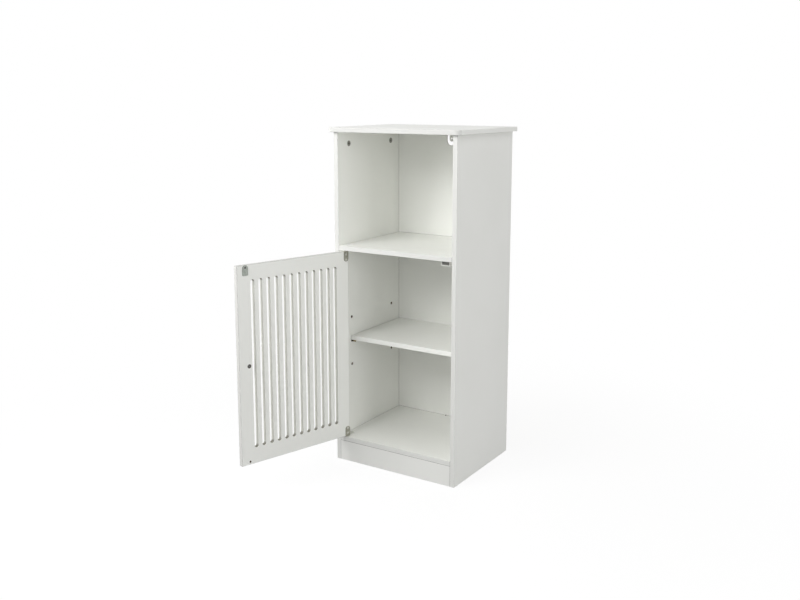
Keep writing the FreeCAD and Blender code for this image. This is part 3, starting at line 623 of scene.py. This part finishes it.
def back_finish(name, low, high, marks):
    """White foil on the inner face of thin hardboard, raw on its rear face, and on its sawn edges raw brown
    darkened further with painted shade.
    """
    back = bpy.context.scene.cabinet_back
    boards = bpy.context.scene.cabinet_boards
    material, nodes, shader = new_material(name, boards.roughness)
    place = nodes.place()
    depth = nodes.split(place)[1]
    pebble = pebbled(nodes, place, boards.pebble)
    foil = joint_shaded(nodes, place, clouded(nodes, pebble, back.foil, boards.shade), marks)
    fibre = fibreboard(nodes, place, back.board, back.board_dark)
    raw = nodes.math("GREATER_THAN", depth, low.y + FOIL)
    # Painted shade: the sawn edges are darker than the raw board.
    cut = nodes.math("MULTIPLY", raw, nodes.math("LESS_THAN", depth, high.y - REAR_SKIN))
    board = nodes.blend(cut, fibre["Colour"], back.cut)
    nodes.feed(shader["Base Color"], nodes.blend(raw, foil, board))
    nodes.feed(shader["Roughness"], nodes.spread(raw, 0.0, 1.0, boards.roughness, REAR_ROUGHNESS))
    slanted = nodes.add("Mapping", {"Vector": place, "Rotation": (0, SCREEN_TURN, 0)}).outputs[0]
    wires = nodes.split(slanted)
    turns = 2 * math.pi / back.screen
    print_x = nodes.math("SINE", nodes.math("MULTIPLY", wires[0], turns))
    print_z = nodes.math("SINE", nodes.math("MULTIPLY", wires[2], turns))
    screen = nodes.math("MULTIPLY", nodes.math("MULTIPLY", print_x, print_z), 0.5)
    rough_side = nodes.math("MULTIPLY", nodes.math("ADD", screen, fibre["Height"]), raw)
    height = nodes.math("MULTIPLY_ADD", rough_side, SCREEN_RELIEF, pebble["Height"])
    raise_surface(nodes, shader, height, boards.pebble_depth)
    return material


def metal(name, tone, roughness, stretch=ALONG_Z, wear=0.35, tarnish=0.72, rim=None):
    """Metal with streaks or cast grain and a tarnish.

    Its edges are rubbed bright or, where a rim is given, darkened in that colour, which on the strike plate
    is painted shade."""
    material, nodes, shader = new_material(name, roughness, metallic=1.0)
    place = nodes.place()
    streaks = streaked(nodes, place, stretch)
    rubbed = rubbed_edges(nodes, place, DARKENED if rim else RUBBED)
    face = nodes.blend(streaks["Mask"], tone, darker(tone, tarnish))
    nodes.feed(shader["Base Color"], nodes.blend(rubbed, face, rim or paler(tone, wear)))
    nodes.feed(shader["Roughness"], varied(nodes, streaks["Mask"], roughness))
    raise_surface(nodes, shader, streaks["Height"], METAL_RELIEF)
    return material


def cam_finish(name, node, face_axis):
    """Die-cast zinc with a bright rim and an arrow, and a driver recess and ring in near-black painted shade,
    drawn about the axis of each cam lock.
    """
    fittings = bpy.context.scene.cabinet_fittings
    roughness = 0.42
    material, nodes, shader = new_material(name, roughness, metallic=1.0)
    place = nodes.place()
    ordinates = nodes.split(place)
    low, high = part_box(node)
    sides = []
    for axis in range(3):
        if axis == face_axis:
            continue
        middle, reach = (low[axis] + high[axis]) / 2, (high[axis] - low[axis]) / 2 - fittings.cam_radius
        if reach > MM:
            sides.append(folded(nodes, ordinates[axis], middle, reach))
        else:
            sides.append(nodes.math("SUBTRACT", ordinates[axis], middle))
    ring = nodes.math("DIVIDE", from_axis(nodes, *sides), fittings.cam_radius)
    rim = nodes.spread(ring, *CAM_RIM)
    groove = nodes.math("MULTIPLY", nodes.spread(ring, *CAM_GROOVE), nodes.math("SUBTRACT", 1.0, rim))
    wide, tall = (nodes.math("ABSOLUTE", side) for side in sides)
    narrow = nodes.math("LESS_THAN", nodes.math("MINIMUM", wide, tall), fittings.cross_width / 2)
    short = nodes.math("LESS_THAN", nodes.math("MAXIMUM", wide, tall), fittings.cross_length / 2)
    cross = nodes.math("MULTIPLY", narrow, short)
    # Painted shade in the driver recess and the ring groove.
    dark = nodes.math("MAXIMUM", cross, nodes.math("MULTIPLY", groove, 0.7))
    below_tip = nodes.math("LESS_THAN", nodes.math("MULTIPLY_ADD", wide, ARROW_SLOPE, sides[1]), ARROW_TIP)
    arrow = nodes.math("MULTIPLY", below_tip, nodes.math("GREATER_THAN", sides[1], ARROW_FOOT))
    cast = streaked(nodes, place, (1200, 1200, 1200))
    face = nodes.blend(cast["Mask"], fittings.zinc, darker(fittings.zinc, 0.72))
    face = nodes.blend(dark, face, fittings.cam_recess_shade)
    face = nodes.blend(nodes.math("MAXIMUM", rim, arrow), face, fittings.zinc_rim)
    nodes.feed(shader["Base Color"], face)
    nodes.feed(shader["Roughness"], varied(nodes, cast["Mask"], roughness))
    relief = nodes.math("MULTIPLY_ADD", nodes.math("MAXIMUM", rim, arrow), CAM_RELIEF, cast["Height"])
    raise_surface(nodes, shader, relief, 0.02 * MM)
    return material


def turned(name, turn, shift, centre):
    """Satin nickel with fine rings about an axis of the shut door."""
    fittings = bpy.context.scene.cabinet_fittings
    roughness = 0.3
    material, nodes, shader = new_material(name, roughness, metallic=1.0)
    place = shut_place(nodes, turn, shift)
    x, depth, z = nodes.split(place)
    outward = nodes.math("DIVIDE", from_axis(nodes, x, z, centre), fittings.turning)
    along = nodes.math("DIVIDE", depth, fittings.turning)
    rings = nodes.add("CombineXYZ", {0: outward, 1: along}).outputs[0]
    lathe = nodes.noise(rings, 1.0, 2.0, 0.6)
    cast = streaked(nodes, place, (300, 300, 300))
    rubbed = rubbed_edges(nodes, place)
    dull = darker(fittings.nickel, 0.8)
    face = nodes.blend(nodes.spread(lathe, 0.35, 0.65), fittings.nickel, dull)
    face = nodes.blend(nodes.math("MULTIPLY", cast["Mask"], 0.4), face, dull)
    nodes.feed(shader["Base Color"], nodes.blend(rubbed, face, paler(fittings.nickel, 0.3)))
    nodes.feed(shader["Roughness"], varied(nodes, cast["Mask"], roughness, 0.04, 0.08))
    raise_surface(nodes, shader, lathe, 0.012 * MM)
    return material


def moulded(name, tone, roughness, pebble_size, depth):
    """Moulded plastic or powder coat with a pebbled skin and paler rubbed edges."""
    material, nodes, shader = new_material(name, roughness)
    place = nodes.place()
    pebble = pebbled(nodes, place, pebble_size)
    rubbed = rubbed_edges(nodes, place)
    face = nodes.blend(pebble["Cloud"], tone, darker(tone, 0.93))
    nodes.feed(shader["Base Color"], nodes.blend(rubbed, face, paler(tone, 0.15)))
    nodes.feed(shader["Roughness"], varied(nodes, pebble["Cloud"], roughness, 0.05, 0.07))
    raise_surface(nodes, shader, pebble["Height"], depth)
    return material


def dowel_wood(name):
    """Beech with short dark rays along the dowel."""
    fittings = bpy.context.scene.cabinet_fittings
    roughness = 0.6
    material, nodes, shader = new_material(name, roughness)
    place = nodes.place()
    streaks = streaked(nodes, place, (180, 1400, 1400))
    nodes.feed(shader["Base Color"], nodes.blend(streaks["Mask"], fittings.beech, fittings.beech_dark))
    nodes.feed(shader["Roughness"], varied(nodes, streaks["Mask"], roughness, 0.08, 0.1))
    raise_surface(nodes, shader, streaks["Height"], 0.04 * MM)
    return material


def pin_finish(name):
    """Yellow zinc of the shelf pins, darker towards the wall."""
    fittings = bpy.context.scene.cabinet_fittings
    roughness = 0.34
    material, nodes, shader = new_material(name, roughness, metallic=1.0)
    place = nodes.place()
    streaks = streaked(nodes, place, ALONG_X)
    out = nodes.math("ABSOLUTE", nodes.split(place)[0])
    foot = nodes.spread(out, fittings.pin_bright, fittings.pin_bright + 2 * MM)
    bright = nodes.blend(streaks["Mask"], fittings.pin, darker(fittings.pin, 0.7))
    nodes.feed(shader["Base Color"], nodes.blend(foot, bright, fittings.pin_dark))
    nodes.feed(shader["Roughness"], varied(nodes, streaks["Mask"], roughness))
    raise_surface(nodes, shader, streaks["Height"], 0.01 * MM)
    return material


def dress(node, material):
    """Gives a node of the frame its finish."""
    slots = NODES[node].material_slots
    if not slots:
        raise RuntimeError(node + " has no material slot")
    for slot in slots:
        slot.material = material


def door_frame():
    """Turn and shift that carry the open door's points to the shut door, and the shut door's box."""
    shut = Matrix.Rotation(DOOR_OPEN, 4, "Z")
    points = [shut @ (vertex.co - PIVOT) + PIVOT for vertex in NODES["door"].data.vertices]
    low = Vector(min(point[axis] for point in points) for axis in range(3))
    high = Vector(max(point[axis] for point in points) for axis in range(3))
    return DOOR_OPEN, PIVOT - shut @ PIVOT, low, high


# ---- operators ----

class CABINET_OT_boards(bpy.types.Operator):
    """Dress the boards of the carcass and the loose shelf"""
    bl_idname = "cabinet.boards"
    bl_label = "Boards"

    def execute(self, context):
        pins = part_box("shelf_pins")
        # The plinth's greyer tone is painted shade.
        plinth = context.scene.cabinet_boards.plinth
        # joints name the sides where a painted shade line marks the gap to another board.
        boards = {
            "left_side_panel": {"raw": (-3,), "joints": (3,), "pins": pins},
            "right_side_panel": {"raw": (-3,), "joints": (3,), "pins": pins},
            "fixed_shelf": {"raw": (2,), "joints": (1, -1, 2)},
            "bottom_panel": {"raw": (2,), "joints": (1, -1, 2, -3)},
            "plinth": {"raw": (2, -3), "joints": (1, -1, 3), "bands": (), "tone": plinth},
            "adjustable_shelf": {"raw": (1, -1, 2), "bands": ()},
        }
        for node, sides in boards.items():
            dress(node, laminate(node + "_laminate", *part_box(node), **sides))
        low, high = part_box("top_panel")
        corner = Vector((10 * MM, 10 * MM, 0))
        box = low + corner, high - corner
        dress("top_panel", laminate("top_panel_laminate", *box, bands=(), skin=EASED_SKIN, shade_front_faces=True))
        return {"FINISHED"}


class CABINET_OT_back(bpy.types.Operator):
    """Dress the thin back panel and its pin"""
    bl_idname = "cabinet.back"
    bl_label = "Back panel"

    def execute(self, context):
        shelf_low, shelf_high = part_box("fixed_shelf")
        # Painted shade lines where the fixed shelf, the bottom and the top meet the back.
        marks = [(0, shelf_low[0]), (0, shelf_high[0]), (2, shelf_low[2]), (2, shelf_high[2])]
        marks += [(2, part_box("bottom_panel")[1][2]), (2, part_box("top_panel")[0][2])]
        dress("back_panel", back_finish("back_hardboard", *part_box("back_panel"), marks))
        dress("back_panel_pin", metal("back_pin_steel", context.scene.cabinet_fittings.pin_dark, 0.6))
        return {"FINISHED"}


class CABINET_OT_door(bpy.types.Operator):
    """Dress the door with its slots"""
    bl_idname = "cabinet.door"
    bl_label = "Door"

    def execute(self, context):
        boards = context.scene.cabinet_boards
        turn, shift, low, high = door_frame()
        slot_ends = (low.z + boards.slot_foot, high.z - boards.slot_head)
        # Near-black painted shade in the knob recess and in a ring about the pilot hole.
        bores = [((high.x - boards.knob_inset, boards.knob_height), boards.knob_recess),
                 ((high.x - boards.pilot_inset, low.z + boards.pilot_height), boards.pilot_shade_radius)]
        dress("door", door_finish("door_paint", turn, shift, low, high, slot_ends, bores))
        return {"FINISHED"}


class CABINET_OT_fixings(bpy.types.Operator):
    """Dress the cam locks, cam bolts and dowels"""
    bl_idname = "cabinet.fixings"
    bl_label = "Cam locks and dowels"

    def execute(self, context):
        bolt = metal("bolt_steel", context.scene.cabinet_fittings.screw, 0.34, ALONG_X)
        wood = dowel_wood("dowel_beech")
        for group, axis in (("top", 0), ("shelf", 2), ("bottom", 2), ("plinth", 1)):
            dress(group + "_cam_locks", cam_finish(group + "_cam_zinc", group + "_cam_locks", axis))
            dress(group + "_cam_bolts", bolt)
            dress(group + "_dowels", wood)
        return {"FINISHED"}


class CABINET_OT_hinges(bpy.types.Operator):
    """Dress the pivot hinges"""
    bl_idname = "cabinet.hinges"
    bl_label = "Hinges"

    def execute(self, context):
        fittings = context.scene.cabinet_fittings
        leaf = metal("hinge_steel", fittings.hinge, 0.34, rim=fittings.hinge_rim)
        # Painted light: the cabinet leaves are paler than the door leaves of the same steel.
        bright = metal("bright_hinge_steel", fittings.hinge_lit, 0.3, ALONG_Y, tarnish=0.85)
        rivet = metal("rivet_steel", fittings.screw, 0.32, (900, 900, 900))
        for end in ("upper", "lower"):
            dress(end + "_hinge_door_leaf", leaf)
            dress(end + "_hinge_cabinet_leaf", bright)
            dress(end + "_hinge_pin", rivet)
        return {"FINISHED"}


class CABINET_OT_screws(bpy.types.Operator):
    """Dress the wood screws"""
    bl_idname = "cabinet.screws"
    bl_label = "Screws"

    def execute(self, context):
        fittings = context.scene.cabinet_fittings
        steel = metal("screw_steel", fittings.screw, 0.28, EVEN, 0.5)
        dress("strike_screw", metal("dark_screw_steel", fittings.screw_dark, 0.3, EVEN, 0.3))
        # Painted shade: the knob's screw is darkened to the shade of its recess.
        dress("knob_screw", metal("knob_screw_steel", fittings.knob_screw, 0.34, EVEN, 0.3))
        names = ["catch_screws", "wall_bracket_screw"]
        for end in ("upper", "lower"):
            names += [end + "_hinge_cabinet_screws", end + "_hinge_door_screws"]
        for name in names:
            dress(name, steel)
        return {"FINISHED"}


class CABINET_OT_catch(bpy.types.Operator):
    """Dress the magnetic catch and its strike plate"""
    bl_idname = "cabinet.catch"
    bl_label = "Catch and strike plate"

    def execute(self, context):
        fittings = context.scene.cabinet_fittings
        dress("catch_housing", moulded("catch_plastic", fittings.plastic, 0.38, 0.5 * MM, 0.012 * MM))
        dress("catch_magnet", moulded("catch_ferrite", fittings.magnet, 0.5, 0.3 * MM, 0.02 * MM))
        dress("catch_pole_plates", metal("pole_steel", fittings.pole, 0.4, ALONG_X))
        # The strike plate's dark edges are painted shade.
        plate = metal("strike_steel", fittings.strike, 0.4, (900, 900, 50), rim=fittings.strike_edge_shade)
        dress("strike_plate", plate)
        return {"FINISHED"}


class CABINET_OT_knob(bpy.types.Operator):
    """Dress the knob"""
    bl_idname = "cabinet.knob"
    bl_label = "Knob"

    def execute(self, context):
        boards = context.scene.cabinet_boards
        turn, shift, _, high = door_frame()
        centre = (high.x - boards.knob_inset, boards.knob_height)
        dress("knob", turned("knob_nickel", turn, shift, centre))
        return {"FINISHED"}


class CABINET_OT_supports(bpy.types.Operator):
    """Dress the shelf pins and the wall bracket"""
    bl_idname = "cabinet.supports"
    bl_label = "Shelf pins and wall bracket"

    def execute(self, context):
        coat = context.scene.cabinet_fittings.coat
        dress("shelf_pins", pin_finish("pin_steel"))
        dress("wall_bracket", moulded("bracket_coat", coat, 0.4, 0.6 * MM, 0.02 * MM))
        return {"FINISHED"}


def add_lamp(name, place, target, size, energy):
    """A soft square lamp that looks at a point."""
    data = bpy.data.lights.new(name, "AREA")
    data.size = size
    data.energy = energy
    lamp = bpy.data.objects.new(name, data)
    lamp.location = place
    lamp.rotation_euler = (Vector(target) - Vector(place)).to_track_quat("-Z", "Y").to_euler()
    lamp.visible_camera = False
    bpy.context.collection.objects.link(lamp)


def seen_directly(nodes):
    """1 for camera, glossy and transmission rays."""
    rays = nodes.add("LightPath").outputs
    sharp = nodes.math("MAXIMUM", rays["Is Glossy Ray"], rays["Is Transmission Ray"])
    return nodes.math("MAXIMUM", rays["Is Camera Ray"], sharp)


def add_world(sky):
    """Even light from all round that the camera and reflections see as plain white."""
    world = bpy.data.worlds.new("studio")
    bpy.context.scene.world = world
    world.use_nodes = True
    nodes = Nodes(world.node_tree)
    seen = seen_directly(nodes)
    light = nodes.add("Background", {"Color": (1, 1, 1, 1), "Strength": sky})
    white = nodes.add("Background", {"Color": (1, 1, 1, 1), "Strength": 1.0})
    either = nodes.add("MixShader", {0: seen, 1: light.outputs[0], 2: white.outputs[0]})
    output = nodes.add("OutputWorld")
    nodes.feed(output.inputs["Surface"], either.outputs[0])


def add_floor(studio):
    """Pale floor that looks plain white but keeps the cabinet's shadow."""
    mesh = bpy.data.meshes.new("floor")
    half = studio.floor_size / 2
    corners = [(-half, -half, 0), (half, -half, 0), (half, half, 0), (-half, half, 0)]
    mesh.from_pydata(corners, [], [(0, 1, 2, 3)])
    floor = bpy.data.objects.new("floor", mesh)
    bpy.context.collection.objects.link(floor)
    material = bpy.data.materials.new("floor_white")
    material.use_nodes = True
    nodes = Nodes(material.node_tree)
    away = nodes.add("VectorMath", {0: nodes.place()}, operation="LENGTH").outputs["Value"]
    shade = nodes.spread(away, studio.shade_full, studio.shade_reach, studio.floor_shade, 0.0)
    matt = nodes.add("BsdfDiffuse", {"Color": (*studio.floor_colour, 1)})
    shaded = nodes.add("BsdfDiffuse", {"Color": (1, 1, 1, 1)})
    white = nodes.add("Emission", {"Color": (1, 1, 1, 1), "Strength": 1.0})
    pale = nodes.add("MixShader", {0: shade, 1: white.outputs[0], 2: shaded.outputs[0]})
    either = nodes.add("MixShader", {0: seen_directly(nodes), 1: matt.outputs[0], 2: pale.outputs[0]})
    output = nodes.add("OutputMaterial")
    nodes.feed(output.inputs["Surface"], either.outputs[0])
    mesh.materials.append(material)


def add_camera(studio):
    """A camera turned about the upright and dipped below the horizon."""
    data = bpy.data.cameras.new("camera")
    data.sensor_width = 36
    data.lens = studio.focal / MM
    data.shift_y = studio.shift
    data.clip_start, data.clip_end = 0.05, 100
    camera = bpy.data.objects.new("camera", data)
    camera.location = studio.camera_place
    camera.rotation_euler = (math.pi / 2 - studio.camera_dip, 0, studio.camera_turn)
    bpy.context.collection.objects.link(camera)
    bpy.context.scene.camera = camera


class CABINET_OT_studio(bpy.types.Operator):
    """Set the floor, the lamps and the camera"""
    bl_idname = "cabinet.studio"
    bl_label = "Studio"

    def execute(self, context):
        studio = context.scene.cabinet_studio
        add_floor(studio)
        add_world(studio.sky)
        for name, (place, target, size, setting) in LAMPS.items():
            add_lamp(name, place, target, size, getattr(studio, setting))
        add_camera(studio)
        context.scene.view_settings.view_transform = "Standard"
        return {"FINISHED"}


# ---- panel and registration ----

OPERATORS = (
    CABINET_OT_boards,
    CABINET_OT_back,
    CABINET_OT_door,
    CABINET_OT_fixings,
    CABINET_OT_hinges,
    CABINET_OT_screws,
    CABINET_OT_catch,
    CABINET_OT_knob,
    CABINET_OT_supports,
    CABINET_OT_studio,
)
SETTINGS = {
    "cabinet_boards": CabinetBoards,
    "cabinet_back": CabinetBack,
    "cabinet_fittings": CabinetFittings,
    "cabinet_studio": CabinetStudio,
}


class CABINET_PT_panel(bpy.types.Panel):
    """Cabinet tools in the sidebar"""
    bl_label = "Slatted Door Cabinet"
    bl_idname = "CABINET_PT_panel"
    bl_space_type = "VIEW_3D"
    bl_region_type = "UI"
    bl_category = "Cabinet"

    def draw(self, context):
        for operator in OPERATORS:
            self.layout.operator(operator.bl_idname)
        for name in SETTINGS:
            box = self.layout.box()
            for setting in getattr(context.scene, name).bl_rna.properties:
                if setting.identifier not in ("name", "rna_type"):
                    box.prop(getattr(context.scene, name), setting.identifier)


def register():
    for name, settings in SETTINGS.items():
        bpy.utils.register_class(settings)
        setattr(bpy.types.Scene, name, PointerProperty(type=settings))
    for made in (*OPERATORS, CABINET_PT_panel):
        bpy.utils.register_class(made)


def unregister():
    for made in (CABINET_PT_panel, *reversed(OPERATORS)):
        bpy.utils.unregister_class(made)
    for name, settings in reversed(SETTINGS.items()):
        delattr(bpy.types.Scene, name)
        bpy.utils.unregister_class(settings)


def main():
    register()
    for operator in OPERATORS:
        group, name = operator.bl_idname.split(".")
        getattr(getattr(bpy.ops, group), name)()


if __name__ == "__main__":
    main()
